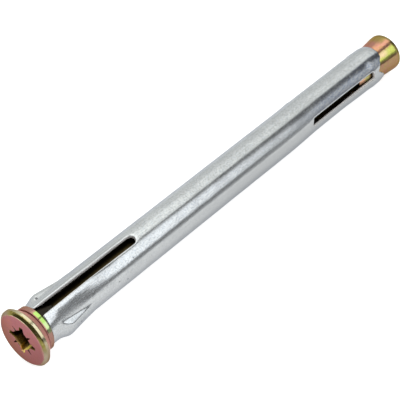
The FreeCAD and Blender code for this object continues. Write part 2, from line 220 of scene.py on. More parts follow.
def head_slot_edge(x, side):
    """Angle of the head slot's edge at x; side -1 is the edge nearer +Z's +Y side."""
    mid = np.interp(x, [4, 10, 18, 27.8, 33, 36], [-0.4, -0.3, -0.2, 0.6, 1.9, 2.2])
    half = np.interp(x, [4, 6, 10, 18, 27.8, 33], [16.6, 16.2, 15.9, 14.6, 15.0, 14.8])
    half = half + (side > 0) * 2.2 * (0.5 + 0.5 * smooth01((x - 4.9) / 3.6)) * smooth01((27 - x) / 11)
    half = half - (side < 0) * 2.4 * smooth01((29 - x) / 9)
    return mid + side * half


def corner(points, closed=True):
    """Rounds the corners of a polygon given as (x, u, radius)."""
    out = []
    n = len(points)
    for i in range(n):
        x, y, r = points[i]
        if r <= 0:
            out.append((x, y))
            continue
        p = np.array([x, y])
        a = np.array(points[i - 1][:2]) - p
        b = np.array(points[(i + 1) % n][:2]) - p
        la, lb = np.linalg.norm(a), np.linalg.norm(b)
        a, b = a / la, b / lb
        half = 0.5 * math.acos(max(-1, min(1, float(a @ b))))
        if half > math.radians(88):
            out.append((x, y))
            continue
        t = min(r / math.tan(half), 0.45 * la, 0.45 * lb)
        rr = t * math.tan(half)
        mid = a + b
        mid /= np.linalg.norm(mid)
        c = p + mid * rr / math.sin(half)
        s0, s1 = p + a * t - c, p + b * t - c
        a0 = math.atan2(s0[1], s0[0])
        da = (math.atan2(s1[1], s1[0]) - a0 + math.pi) % (2 * math.pi) - math.pi
        k = max(3, int(abs(da) * rr / 0.07))
        for j in range(k + 1):
            out.append((c[0] + rr * math.cos(a0 + da * j / k), c[1] + rr * math.sin(a0 + da * j / k)))
    return np.array(out)


def resample(loop, step):
    """Even points along a closed line, no longer apart than step."""
    p = np.vstack([loop, loop[:1]])
    seg = np.linalg.norm(np.diff(p, axis=0), axis=1)
    s = np.concatenate([[0], np.cumsum(seg)])
    n = int(math.ceil(s[-1] / step))
    t = np.linspace(0, s[-1], n, endpoint=False)
    return np.stack([np.interp(t, s, p[:, 0]), np.interp(t, s, p[:, 1])], -1)


def area2(loop):
    x, y = loop[:, 0], loop[:, 1]
    return float(np.sum(x * np.roll(y, -1) - np.roll(x, -1) * y))


def normals(loop):
    """Unit normals to the right of the line's direction."""
    d = np.roll(loop, -1, 0) - np.roll(loop, 1, 0)
    n = np.stack([d[:, 1], -d[:, 0]], -1)
    n /= np.linalg.norm(n, axis=1)[:, None]
    return n


def inside(points, loops):
    """Even-odd test against several closed lines."""
    hit = np.zeros(len(points), bool)
    for lp in loops:
        x0, y0 = lp[:, 0], lp[:, 1]
        x1, y1 = np.roll(x0, -1), np.roll(y0, -1)
        for k in range(0, len(points), 4000):
            px = points[k:k + 4000, 0][:, None]
            py = points[k:k + 4000, 1][:, None]
            cross = (y0 > py) != (y1 > py)
            with np.errstate(divide="ignore", invalid="ignore"):
                xi = x0 + (py - y0) * (x1 - x0) / (y1 - y0)
            hit[k:k + 4000] ^= (np.sum(cross & (px < xi), axis=1) % 2).astype(bool)
    return hit


def far_from(points, lines, dist):
    from mathutils import kdtree
    pts = np.vstack(lines)
    tree = kdtree.KDTree(len(pts))
    for i, p in enumerate(pts):
        tree.insert((p[0], p[1], 0.0), i)
    tree.balance()
    keep = np.array([tree.find((p[0], p[1], 0.0))[2] > dist for p in points])
    return points[keep]


def fill_sheet(loops, grid, gap):
    """Triangles between the lines, with the grid's points inside."""
    grid = grid[inside(grid, loops)]
    grid = far_from(grid, loops, gap)
    pts, edges = [], []
    for lp in loops:
        k = len(pts)
        pts.extend(map(tuple, lp))
        edges.extend((k + i, k + (i + 1) % len(lp)) for i in range(len(lp)))
    n_rim = len(pts)
    pts.extend(map(tuple, grid))
    co, _, faces, orig, _, _ = geometry.delaunay_2d_cdt(
        [Vector(p) for p in pts], edges, [], 0, 1e-7, True)
    co = np.array([tuple(c) for c in co])
    first = [o[0] if o else -1 for o in orig]
    faces = np.array([tuple(f) for f in faces if len(f) == 3])
    mid = co[faces].mean(axis=1)
    faces = faces[inside(mid, loops)]
    # the same order as the points that went in
    back = np.full(len(co), -1)
    for i, o in enumerate(first):
        back[i] = o
    if len(co) != len(pts) or (back < 0).any():
        raise RuntimeError("the sheet's outline crosses itself")
    faces = back[faces]
    p = np.array(pts)
    a = p[faces]
    turn = ((a[:, 1, 0] - a[:, 0, 0]) * (a[:, 2, 1] - a[:, 0, 1])
            - (a[:, 1, 1] - a[:, 0, 1]) * (a[:, 2, 0] - a[:, 0, 0]))
    faces[turn < 0] = faces[turn < 0][:, ::-1]
    return p, faces, n_rim


def sleeve_mesh():
    g = 9.0                                    # half the seam's gap, degrees
    a0, a1 = SEAM_AT - 360.0 + g, SEAM_AT - g
    pts = []
    # head end, first edge of the seam to the head slot
    hs = 4.74
    pts.append((hs, a0 * ARC, 0.45))
    lo0 = float(head_slot_edge(hs, -1))
    hi0 = float(head_slot_edge(hs, 1))
    pts.append((hs, lo0 * ARC, 0.5))
    for x in np.arange(7.0, 32.6, 1.6):
        pts.append((x, float(head_slot_edge(x, -1)) * ARC, 0))
    # round far end
    xc = 33.05
    lo, hi = float(head_slot_edge(xc, -1)) * ARC, float(head_slot_edge(xc, 1)) * ARC
    cy, rr = 0.5 * (lo + hi), 0.5 * (hi - lo)
    for t in np.radians(np.arange(-90, 90.1, 7.5)):
        pts.append((xc + rr * math.cos(t), cy + rr * math.sin(t), 0))
    for x in np.arange(32.6, 6.9, -1.6):
        pts.append((x, float(head_slot_edge(x, 1)) * ARC, 0))
    pts.append((hs, hi0 * ARC, 0.5))
    pts.append((hs, a1 * ARC, 0.45))
    # second edge of the seam, along to the tip
    pts.append((float(tip_edge(a1)), a1 * ARC, 0.4))
    for a in np.arange(a1 - 4.0, a0 + 3.0, -3.0):
        pts.append((float(tip_edge(a)), a * ARC, 0))
    pts.append((float(tip_edge(a0)), a0 * ARC, 0.4))
    outer = resample(corner(pts), 0.26)
    if area2(outer) < 0:
        outer = outer[::-1]
    holes = []
    for c, half, skew in ((66.7, 11.3, 0.5), (-60.5, 10.6, -0.3)):
        w = half * ARC
        u = c * ARC
        h = corner([(95.1 + skew, u - w, 0.45), (120.6, u - 1.0 * w, 0.5),
                    (120.5, u + 1.04 * w, 0.5), (95.1 - skew, u + w, 0.45)])
        h = resample(h, 0.22)
        if area2(h) > 0:
            h = h[::-1]
        holes.append(h)
    loops = [outer] + holes                   # metal is always to the left
    edge = 0.24                               # rounding of the cut edges
    norm = [normals(lp) for lp in loops]
    back = [lp - n * edge for lp, n in zip(loops, norm)]

    def grid(dx_fine, dx_wide, du):
        xs = np.concatenate([np.arange(5.0, 18.8, dx_fine), np.arange(18.9, 93.0, dx_wide),
                             np.arange(93.2, 127.5, 0.55 * dx_wide)])
        us = np.arange(a0 * ARC, a1 * ARC, du)
        gx, gu = np.meshgrid(xs, us, indexing="ij")
        gu = gu + (np.arange(len(xs)) % 2)[:, None] * du * 0.5
        return np.stack([gx.ravel(), gu.ravel()], -1)

    pts_o, fa_o, n_rim = fill_sheet(back, grid(0.27, 0.8, 0.25), 0.16)
    pts_i, fa_i, n_rim2 = fill_sheet(back, grid(0.5, 1.4, 0.5), 0.25)
    verts, faces, mats = [], [], []

    def add(p3):
        k = sum(len(v) for v in verts)
        verts.append(p3)
        return k

    def place(p2, r):
        return cyl(p2[:, 0], r, p2[:, 1] / ARC)

    ko = add(place(pts_o, sleeve_outer(pts_o[:, 0], pts_o[:, 1] / ARC)))
    faces.extend(map(tuple, (fa_o + ko)))
    mats.extend([0] * len(fa_o))
    ki = add(place(pts_i, sleeve_inner(pts_i[:, 0], pts_i[:, 1] / ARC)))
    faces.extend(map(tuple, (fa_i[:, ::-1] + ki)))
    mats.extend([1] * len(fa_i))
    # the cut edge, from the outer skin over its rounding to the inner skin
    start = 0
    for lp, n, bk in zip(loops, norm, back):
        m = len(lp)
        rings = [ko + start + np.arange(m)]
        for t, drop in ((0.55, 0.09), (0.2, 0.32), (0.0, 0.85)):
            p = bk + n * edge * (1 - t)
            a = p[:, 1] / ARC
            ro = sleeve_outer(p[:, 0], a)
            rings.append(add(place(p, ro - drop * edge)) + np.arange(m))
        for t, drop in ((0.0, 0.5), (0.35, 0.1)):
            p = bk + n * edge * (1 - t)
            a = p[:, 1] / ARC
            ri = sleeve_inner(p[:, 0], a)
            rings.append(add(place(p, ri + drop * 0.16)) + np.arange(m))
        rings.append(ki + start + np.arange(m))
        for q, (r0, r1) in enumerate(zip(rings, rings[1:])):
            for i in range(m):
                j = (i + 1) % m
                faces.append((r0[i], r1[i], r1[j], r0[j]))
                mats.append(2 if q in (2, 3) else (1 if q > 3 else 0))
        start += m
    return np.vstack(verts), faces, mats


# ---------------------------------------------------------------- turnings
def soften(profile, step=0.25):
    """Rounds a profile's corners: points are (x, r, radius)."""
    pts = [(x, r, k) for x, r, k in profile]
    out = []
    n = len(pts)
    for i, (x, r, k) in enumerate(pts):
        if i in (0, n - 1) or k <= 0:
            out.append((x, r))
            continue
        p = np.array([x, r])
        a = np.array(pts[i - 1][:2]) - p
        b = np.array(pts[i + 1][:2]) - p
        la, lb = np.linalg.norm(a), np.linalg.norm(b)
        a, b = a / la, b / lb
        half = 0.5 * math.acos(max(-1, min(1, float(a @ b))))
        if half > math.radians(89):
            out.append((x, r))
            continue
        t = min(k / math.tan(half), 0.48 * la, 0.48 * lb)
        for j in range(6):
            s = j / 5
            q = (1 - s) ** 2 * (p + a * t) + 2 * s * (1 - s) * p + s * s * (p + b * t)
            out.append(tuple(q))
    dense = [out[0]]
    for q in out[1:]:
        p = dense[-1]
        d = math.dist(p, q)
        if d < 1e-6:
            continue
        m = max(1, int(d / step))
        for j in range(1, m + 1):
            dense.append((p[0] + (q[0] - p[0]) * j / m, p[1] + (q[1] - p[1]) * j / m))
    return np.array(dense)


def ring_faces(k0, k1, n, flip=False):
    out = []
    for i in range(n):
        j = (i + 1) % n
        f = (k0 + i, k1 + i, k1 + j, k0 + j)
        out.append(f[::-1] if flip else f)
    return out


def revolved(profile, n, closed=True, uneven=0.0, seed=1):
    """Lathe of a profile that runs with the metal on its right."""
    a = np.arange(n) * 360.0 / n
    verts, faces = [], []
    for x, r in profile:
        rr = r + (wave(x, a, seed, uneven) if uneven else 0.0)
        verts.append(cyl(x, rr, a))
    m = len(profile)
    for k in range(m if closed else m - 1):
        faces += ring_faces(k * n, ((k + 1) % m) * n, n)
    return np.vstack(verts), faces


def thread(x0, x1, crest, root, n, clear=0.0, fade0=3.0, fade1=0.8, flip=False):
    """Right-hand thread of 1 mm pitch as a grid that follows its helix."""
    per = 10
    prof = []
    for j in range(per):
        t = j / per
        # flat crest, 60 degree flanks, rounded root
        d = abs(t - 0.5) * 2.0            # 0 at the crest, 1 at the root
        h = np.clip((1.0 - d - 0.12) / 0.62, 0, 1)
        prof.append(h)
    rows = int(round((x1 - x0) * per)) + per
    verts, faces = [], []
    a = np.arange(n + 1) * 360.0 / n
    for i in range(rows + 1):
        x = x0 + i / per - 1.0 + a / 360.0
        h = prof[i % per]
        f = smooth01((x - x0) / fade0) * smooth01((x1 - x) / fade1)
        xx = np.clip(x, x0, x1)
        r = (root + (crest - root) * h)
        r = crest * 0.985 * (1 - f) + r * f if not flip else crest * (1 - f) + r * f
        verts.append(cyl(xx, r + clear, a))
    verts = np.vstack(verts)
    w = n + 1
    for i in range(rows):
        for j in range(n):
            q = (i * w + j, (i + 1) * w + j, (i + 1) * w + j + 1, i * w + j + 1)
            xs = verts[list(q), 0]
            if xs.max() - xs.min() < 1e-6:
                continue
            faces.append(q[::-1] if flip else q)
    return verts, faces


def joined(parts):
    verts, faces, mats = [], [], []
    k = 0
    for v, f, m in parts:
        verts.append(v)
        faces.extend(tuple(i + k for i in q) for q in f)
        mats.extend([m] * len(f))
        k += len(v)
    return np.vstack(verts), faces, mats


WING_AT = 1.35 - 3.46           # wings' angle in the screw's own turn


def recess_reach(a, t):
    """Radius of the recess's outline at angle a, t from the face (0) to the floor (1)."""
    d = (a - WING_AT + 45.0) % 90.0 - 45.0
    s = np.abs(np.sin(np.radians(d)))
    c = np.cos(np.radians(d))
    reach = 3.85 - 2.05 * t
    h0, h1 = 1.2 - 0.45 * t, 0.5 - 0.12 * t      # half widths at the core and at the tip
    core = 2.52 - 1.0 * t
    # squarish core between the wings, a little hollow towards them
    core = core * (1.0 + 0.05 * np.cos(np.radians(4 * d)))
    side = h0 / (s + (h0 - h1) * c / reach)
    wing = np.minimum(reach / np.maximum(c, 0.5), side)
    rounded = smin(reach / np.maximum(c, 0.5), side, 0.2)
    wing = np.minimum(wing, rounded)
    return smax(wing, core, 0.12)


def screw_head():
    n = 720
    a = np.arange(n) * 360.0 / n
    verts, faces, mats = [], [], []

    def add(p):
        verts.append(p)
        return (len(verts) - 1) * n

    def face_depth(r, ang):
        """Depth of the face: ticks, a soft dish and the recess's rounded lip."""
        d = (ang - WING_AT - 45.0 + 45.0) % 90.0 - 45.0
        side = np.abs(r * np.sin(np.radians(d)))
        along = r * np.cos(np.radians(d))
        on = smooth01((3.75 - along) / 0.35) * (np.abs(d) < 24)
        half = 0.34 * np.clip((3.9 - along) / 1.4, 0.25, 1.0)
        tick = 0.55 * np.clip(1.0 - side / half, 0, 1) * on
        return tick + 0.03 * smooth01((r - 5.4) / 0.9)

    # the recess, from its floor up
    depth = 3.25
    rows = np.array([1.0, 0.9, 0.78, 0.65, 0.52, 0.4, 0.29, 0.19, 0.11, 0.05, 0.02])
    last = None
    centre_ring = add(cyl(depth + 0.85, 0.02, a))
    last = centre_ring
    for f in (0.3, 0.6, 0.85):
        k = add(cyl(depth + 0.85 - 0.85 * f ** 1.3, recess_reach(a, 1.0) * f, a))
        faces += ring_faces(last, k, n)
        mats += [1] * n
        last = k
    for t in rows:
        k = add(cyl(depth * t, recess_reach(a, t), a))
        faces += ring_faces(last, k, n)
        mats += [1] * n
        last = k
    r0 = recess_reach(a, 0.0)
    for out, dep in ((0.03, 0.02), (0.08, 0.003)):
        k = add(cyl(face_depth(r0 + out, a) + dep, r0 + out, a))
        faces += ring_faces(last, k, n)
        mats += [0] * n
        last = k
    for t in np.linspace(0.03, 1.0, 34):
        r = (r0 + 0.08) + (6.12 - r0 - 0.08) * t
        k = add(cyl(face_depth(r, a), r, a))
        faces += ring_faces(last, k, n)
        mats += [0] * n
        last = k
    # rim, land, countersunk underside, neck and shank
    prof = soften([(0.03, 6.12, 0), (0.05, 6.32, 0.25), (0.62, 7.0, 0.5), (1.35, 7.0, 0.10),
                   (5.35, 3.0, 0.5), (5.9, 2.95, 0.3), (71.8, 2.95, 0)], 0.3)[1:]
    # straight runs need few rings
    prof = [p for k, p in enumerate(prof)
            if not (6.5 < p[0] < 71.3 or (2.0 < p[0] < 4.5 and k % 3))]
    pu = wave(0.0, a, 5, 0.01)
    for x, r in prof:
        k = add(cyl(x, min(r, 6.995) + (pu if 3.0 < r < 6.9 else 0.0), a))
        faces += ring_faces(last, k, n)
        mats += [0 if x < 5.3 else 2] * n
        last = k
    return np.vstack(verts), faces, mats


def nodes_of(mat):
    mat.use_nodes = True
    nt = mat.node_tree
    for nd in list(nt.nodes):
        nt.nodes.remove(nd)
    out = nt.nodes.new("ShaderNodeOutputMaterial")
    bsdf = nt.nodes.new("ShaderNodeBsdfPrincipled")
    nt.links.new(bsdf.outputs[0], out.inputs[0])
    return nt, bsdf


class Net:
    """Short names for a material's nodes."""

    def __init__(self, name):
        self.mat = bpy.data.materials.new(name)
        self.nt, self.bsdf = nodes_of(self.mat)

    def node(self, kind, **props):
        nd = self.nt.nodes.new(kind)
        for k, v in props.items():
            setattr(nd, k, v)
        return nd

    def link(self, a, b):
        self.nt.links.new(a, b)

    def val(self, sock, v):
        if hasattr(v, "is_output"):
            self.link(v, sock)
        else:
            sock.default_value = v

    def math(self, op, a, b=0.0, c=0.0, clamp=False):
        nd = self.node("ShaderNodeMath", operation=op, use_clamp=clamp)
        self.val(nd.inputs[0], a)
        self.val(nd.inputs[1], b)
        if len(nd.inputs) > 2:
            self.val(nd.inputs[2], c)
        return nd.outputs[0]

    def noise(self, vec, scale, detail=3.0, rough=0.5, distort=0.0):
        nd = self.node("ShaderNodeTexNoise")
        self.link(vec, nd.inputs["Vector"])
        nd.inputs["Scale"].default_value = scale
        nd.inputs["Detail"].default_value = detail
        nd.inputs["Roughness"].default_value = rough
        nd.inputs["Distortion"].default_value = distort
        return nd.outputs["Fac"]

    def ramp(self, fac, stops, mode="LINEAR"):
        nd = self.node("ShaderNodeValToRGB")
        nd.color_ramp.interpolation = mode
        el = nd.color_ramp.elements
        while len(el) > 1:
            el.remove(el[-1])
        el[0].position = stops[0][0]
        el[0].color = col(stops[0][1])
        for pos, c in stops[1:]:
            e = el.new(pos)
            e.color = col(c)
        self.link(fac, nd.inputs[0])
        return nd.outputs[0]

    def mix(self, fac, a, b, mode="MIX"):
        nd = self.node("ShaderNodeMix", data_type="RGBA", blend_type=mode)
        self.val(nd.inputs[0], fac)
        self.val(nd.inputs[6], a)
        self.val(nd.inputs[7], b)
        return nd.outputs[2]

    def scaled(self, vec, xyz):
        nd = self.node("ShaderNodeVectorMath", operation="MULTIPLY")
        self.link(vec, nd.inputs[0])
        nd.inputs[1].default_value = xyz
        return nd.outputs[0]

    def range(self, v, a, b, c, d, soft=True):
        nd = self.node("ShaderNodeMapRange", interpolation_type="SMOOTHSTEP" if soft else "LINEAR")
        self.val(nd.inputs["Value"], v)
        nd.inputs["From Min"].default_value = a
        nd.inputs["From Max"].default_value = b
        nd.inputs["To Min"].default_value = c
        nd.inputs["To Max"].default_value = d
        return nd.outputs["Result"]

    def bump(self, height, dist, strength=1.0):
        nd = self.node("ShaderNodeBump")
        nd.inputs["Strength"].default_value = strength
        nd.inputs["Distance"].default_value = dist
        self.link(height, nd.inputs["Height"])
        self.link(nd.outputs["Normal"], self.bsdf.inputs["Normal"])

    def own(self, axis_shift=0.0):
        """Millimetres along and about the fixing's axis: vector, x, radius, angle."""
        tc = self.node("ShaderNodeTexCoord")
        mp = self.node("ShaderNodeMapping", vector_type="POINT")
        inv = LAY.inverted()
        loc, rot, sca = inv.decompose()
        mp.inputs["Location"].default_value = loc
        mp.inputs["Rotation"].default_value = rot.to_euler()
        mp.inputs["Scale"].default_value = sca
        self.link(tc.outputs["Object"], mp.inputs["Vector"])
        sep = self.node("ShaderNodeSeparateXYZ")
        self.link(mp.outputs[0], sep.inputs[0])
        x, y, z = sep.outputs
        r = self.math("SQRT", self.math("ADD", self.math("MULTIPLY", y, y), self.math("MULTIPLY", z, z)))
        ang = self.math("ARCTAN2", self.math("MULTIPLY", y, -1.0), z)
        deg = self.math("MULTIPLY", ang, 57.29578)
        return mp.outputs[0], x, r, deg


def lin(c):
    c = c / 255.0
    return c / 12.92 if c <= 0.04045 else ((c + 0.055) / 1.055) ** 2.4


def col(rgb):
    return (lin(rgb[0]), lin(rgb[1]), lin(rgb[2]), 1.0)


def zinc(name, base, rough, bump_mm, painted_shade=0.0, blue=0.0, metal=1.0, pits_and_shade=()):
    """Bright zinc plated strip: soft mottle, faint rolling streaks, small pit marks, and painted shade where asked.
    """
    m = Net(name)
    vec, x, r, deg = m.own()
    b = m.bsdf
    b.inputs["Metallic"].default_value = metal
    b.inputs["Specular Tint"].default_value = (0.56, 0.58, 0.61, 1.0)
    mott = m.noise(vec, 0.30, 3.0, 0.55, 0.4)
    grain = m.noise(vec, 2.3, 4.0, 0.65, 0.3)
    fine = m.noise(vec, 6.0, 3.0, 0.6)
    streak = m.noise(m.scaled(vec, (0.16, 2.4, 2.4)), 1.0, 3.0, 0.6)
    c = m.mix(m.range(mott, 0.32, 0.68, 0.0, 1.0), col(base), col([v * 0.95 for v in base]))
    c = m.mix(m.range(grain, 0.45, 0.70, 0.0, 0.50), c,
              col([base[0] * 0.86, base[1] * 0.89, base[2] * 0.93]))
    c = m.mix(m.range(streak, 0.50, 0.75, 0.0, 0.40), c, col([v * 0.86 for v in base]))
    c = m.mix(m.range(fine, 0.56, 0.76, 0.0, 0.45), c, col([min(255, v * 1.10) for v in base]))
    speck = m.noise(vec, 3.3, 1.0, 0.5)
    c = m.mix(m.range(speck, 0.40, 0.72, 0.0, 0.55), c, col([v * 0.80 for v in base]))
    if blue:
        # painted shade: the strip's lower side is darker towards the tip; beside the tip
        # slot the thin plating is blue-grey with paler specks
        low = m.math("MULTIPLY", m.range(deg, 52.0, 72.0, 0.0, 1.0), m.range(x, 14.0, 72.0, 0.16, 1.0, False))
        c = m.mix(low, c, col([v * 0.85 for v in base]))
        u = m.math("ABSOLUTE", m.math("SUBTRACT", deg, 38.0))
        zone = m.math("MULTIPLY", m.range(u, 13.0, 24.0, 1.0, 0.0), m.range(x, 82.0, 106.0, 0.0, 1.0))
        spot = m.range(m.math("ADD", m.math("MULTIPLY", grain, 0.7), m.math("MULTIPLY", mott, 0.3)),
                       0.40, 0.58, 1.0, 0.05)
        c = m.mix(m.math("MULTIPLY", m.math("MULTIPLY", zone, spot), blue), c, col((129, 138, 156)))
        # painted shade along the head slot's upper edge, and over the upper side towards the head
        lip = m.range(m.math("ABSOLUTE", m.math("ADD", deg, 15.6)), 1.2, 2.6, 0.8, 0.0)
        lip = m.math("MULTIPLY", lip, m.range(x, 31.0, 35.0, 1.0, 0.0))
        far = m.math("MULTIPLY", m.range(deg, -10.0, -18.0, 0.0, 0.45), m.range(x, 18.0, 48.0, 1.0, 0.0))
        lip = m.math("MAXIMUM", lip, far)
        c = m.mix(lip, c, col([v * 0.80 for v in base]))
    # small pit marks, and spots of painted shade
    for px, pdeg, size in pits_and_shade:
        d = m.math("MULTIPLY", m.math("SUBTRACT", deg, pdeg), 0.0873)
        e = m.math("SUBTRACT", x, px)
        q = m.math("SQRT", m.math("ADD", m.math("MULTIPLY", d, d), m.math("MULTIPLY", e, e)))
        q = m.math("ADD", q, m.math("MULTIPLY", m.math("SUBTRACT", fine, 0.5), 0.25))
        c = m.mix(m.range(q, 0.4 * size, size, 0.8, 0.0), c, col((58, 56, 60)))
    # painted shade: the colour mixed towards near-black brown
    if painted_shade:
        c = m.mix(painted_shade, c, col((40, 34, 28)))
    m.link(c, b.inputs["Base Color"])
    rg = m.math("ADD", rough, m.math("MULTIPLY", m.math("SUBTRACT", mott, 0.5), 0.10))
    rg = m.math("ADD", rg, m.math("MULTIPLY", m.math("SUBTRACT", grain, 0.5), 0.10), clamp=True)
    m.link(rg, b.inputs["Roughness"])
    h = m.math("ADD", m.math("MULTIPLY", mott, 0.5), m.math("MULTIPLY", grain, 0.35))
    h = m.math("ADD", h, m.math("MULTIPLY", streak, 0.25))
    h = m.math("ADD", h, m.math("MULTIPLY", fine, 0.10))
    m.bump(h, bump_mm * MM)
    return m.mat


# ---------------------------------------------------------------- materials
# pit marks in the plating: x, angle, size; the last, larger spot is painted shade where the upper rib's steep front
# corner lies in shadow
PITS_AND_SHADE = ((27.4, 88.0, 0.24), (24.9, 76.0, 0.19), (30.6, 46.0, 0.22), (12.4, 96.0, 0.26), (7.6, -33.0, 0.42))
ZINC = zinc("zinc_strip", (192, 194, 195), 0.19, 0.027, 0.0, 0.8, 1.0, PITS_AND_SHADE)
# the sleeve's inside: a darker base and painted shade, where it lies in the tube's shade
ZINC_IN = zinc("zinc_strip_inside", (120, 112, 100), 0.5, 0.03, 0.55)
ZINC_CUT = zinc("zinc_cut_edge", (232, 228, 226), 0.5, 0.02, 0.0, 0.0, 0.2)
TINT = (0.50, 0.42, 0.36, 1.0)      # the metal's own colour at a glancing angle


def yellow_face():
    m = Net("yellow_zinc_head")
    vec, x, r, deg = m.own()
    b = m.bsdf
    b.inputs["Specular Tint"].default_value = TINT
    big = m.noise(vec, 0.35, 3.0, 0.55, 0.8)
    mid = m.noise(vec, 1.1, 3.0, 0.6, 0.5)
    fine = m.noise(vec, 4.0, 2.0, 0.6)
    face = m.ramp(big, [(0.25, (166, 112, 120)), (0.5, (162, 108, 114)), (0.75, (168, 114, 108))])
    face = m.mix(m.range(mid, 0.5, 0.75, 0.0, 0.4), face, col((148, 102, 110)))
    # browner towards the face's far edge
    far = m.math("MULTIPLY", r, m.math("COSINE", m.math("MULTIPLY", m.math("SUBTRACT", deg, 50.0), 0.0174533)))
    low = m.math("MULTIPLY", r, m.math("COSINE", m.math("MULTIPLY", m.math("SUBTRACT", deg, 124.0), 0.0174533)))
    face = m.mix(m.range(low, 0.0, 6.2, 0.0, 0.7), face, col((140, 94, 96)))
    face = m.mix(m.range(far, -6.2, 0.5, 0.85, 0.0), face, col((138, 98, 88)))
    edge = m.ramp(mid, [(0.3, (104, 96, 46)), (0.6, (132, 122, 66)), (0.8, (168, 156, 112))])
    edge = m.mix(m.range(deg, 66.0, 96.0, 0.0, 0.85), edge, col((156, 142, 126)))
    edge = m.mix(m.range(deg, -24.0, -48.0, 0.0, 0.85), edge, col((146, 134, 122)))
    land = m.ramp(big, [(0.3, (186, 179, 154)), (0.6, (174, 165, 136)), (0.8, (168, 160, 126))])
    # the land painted darker from 54 to 84 degrees and past 6 towards -30 degrees: painted shade
    land = m.mix(m.range(deg, 54.0, 84.0, 0.0, 0.9), land, col((140, 122, 102)))
    land = m.mix(m.range(deg, 6.0, -30.0, 0.0, 0.8), land, col((132, 124, 100)))
    cone = m.ramp(mid, [(0.3, (190, 126, 120)), (0.55, (198, 140, 128)), (0.8, (200, 150, 124))])
    wob = m.math("MULTIPLY", m.math("SUBTRACT", mid, 0.5), 0.4)
    xx = m.math("ADD", x, wob)
    c = m.mix(m.range(xx, 0.03, 0.16, 0, 1), face, edge)
    c = m.mix(m.range(xx, 0.62, 0.82, 0, 1), c, land)
    c = m.mix(m.range(xx, 1.34, 1.62, 0, 1), c, cone)
    # painted highlight: a pale line along the face's edge, on the side near -4 degrees
    edge_highlight = m.math("MULTIPLY", m.range(r, 6.16, 6.24, 0, 1), m.range(r, 6.34, 6.44, 1, 0))
    edge_highlight = m.math("MULTIPLY", edge_highlight, m.range(big, 0.38, 0.55, 0.1, 0.75))
    edge_highlight = m.math("MULTIPLY", edge_highlight, m.range(x, 0.2, 0.5, 1, 0))
    edge_highlight = m.math("MULTIPLY", edge_highlight, m.range(m.math("ABSOLUTE", m.math("ADD", deg, 4.0)), 12.0, 30.0, 1.0, 0.12))
    c = m.mix(edge_highlight, c, col((226, 214, 176)))
    m.link(c, b.inputs["Base Color"])
    m.link(m.range(x, 1.36, 1.7, 1.0, 0.45), b.inputs["Metallic"])
    rg = m.math("ADD", 0.13, m.math("MULTIPLY", mid, 0.12))
    m.link(m.math("ADD", rg, m.range(x, 1.36, 1.7, 0.0, 0.25)), b.inputs["Roughness"])
    h = m.math("ADD", m.math("MULTIPLY", mid, 0.8), m.math("MULTIPLY", fine, 0.3))
    m.bump(h, 0.02 * MM)
    return m.mat


def recess_metal():
    m = Net("yellow_zinc_recess")
    vec, x, r, deg = m.own()
    b = m.bsdf
    mid = m.noise(vec, 0.9, 3.0, 0.6, 0.5)
    fine = m.noise(vec, 4.5, 2.0, 0.6)
    c = m.ramp(mid, [(0.3, (150, 100, 60)), (0.5, (128, 104, 44)), (0.7, (150, 128, 40))])
    # painted shade: the recess darkens with depth
    recess_shade = m.ramp(mid, [(0.35, (28, 18, 5)), (0.55, (52, 32, 11)), (0.7, (50, 42, 12))])
    c = m.mix(m.range(x, 0.05, 0.75, 0.0, 0.97), c, recess_shade)
    # the near wall's mouth is olive and gold
    near = m.range(m.math("ABSOLUTE", m.math("ADD", deg, 165.0)), 38.0, 62.0, 1.0, 0.0)
    near = m.math("MULTIPLY", near, m.range(x, 0.5, 2.0, 0.8, 0.0))
    c = m.mix(near, c, m.ramp(fine, [(0.35, (104, 88, 30)), (0.55, (150, 112, 44)), (0.7, (186, 150, 84))]))
    # painted highlights where light catches the lower wall's mouth, and the far wall's a little
    down = m.math("MULTIPLY", r, m.math("COSINE", m.math("MULTIPLY", m.math("SUBTRACT", deg, 124.0), 0.0174533)))
    line = m.math("SUBTRACT", 2.12, m.math("MULTIPLY", x, 0.10))
    low = m.range(m.math("ABSOLUTE", m.math("SUBTRACT", down, line)), 0.14, 0.30, 1.0, 0.0)
    low = m.math("MULTIPLY", low, m.range(x, 2.2, 2.8, 1.0, 0.0))
    c = m.mix(low, c, col((255, 226, 110)))
    far = m.range(m.math("ABSOLUTE", m.math("ADD", deg, 150.0)), 26.0, 44.0, 1.0, 0.0)
    far = m.math("MULTIPLY", far, m.range(x, 0.2, 0.5, 1.0, 0.0))
    c = m.mix(far, c, col((236, 190, 130)))
    m.link(m.math("SUBTRACT", 0.85, m.math("MULTIPLY", low, 0.6)), b.inputs["Metallic"])
    m.link(c, b.inputs["Base Color"])
    m.link(m.math("ADD", 0.3, m.math("MULTIPLY", mid, 0.2)), b.inputs["Roughness"])
    m.bump(m.math("ADD", m.math("MULTIPLY", mid, 0.7), m.math("MULTIPLY", fine, 0.4)), 0.035 * MM)
    return m.mat


def yellow_thread(name="yellow_zinc_thread", painted_shade=0.5):
    m = Net(name)
    vec, x, r, deg = m.own()
    b = m.bsdf
    b.inputs["Metallic"].default_value = 1.0
    mid = m.noise(vec, 0.9, 3.0, 0.6, 0.5)
    c = m.ramp(mid, [(0.3, (160, 130, 90)), (0.5, (150, 140, 90)), (0.7, (190, 160, 110))])
    # painted shade: mixed towards near-black brown, as the shank and thread lie inside the sleeve and nut
    c = m.mix(painted_shade, c, col((40, 30, 20)))
    m.link(c, b.inputs["Base Color"])
    m.link(m.math("ADD", 0.34, m.math("MULTIPLY", mid, 0.2)), b.inputs["Roughness"])
    m.bump(mid, 0.02 * MM)
    return m.mat


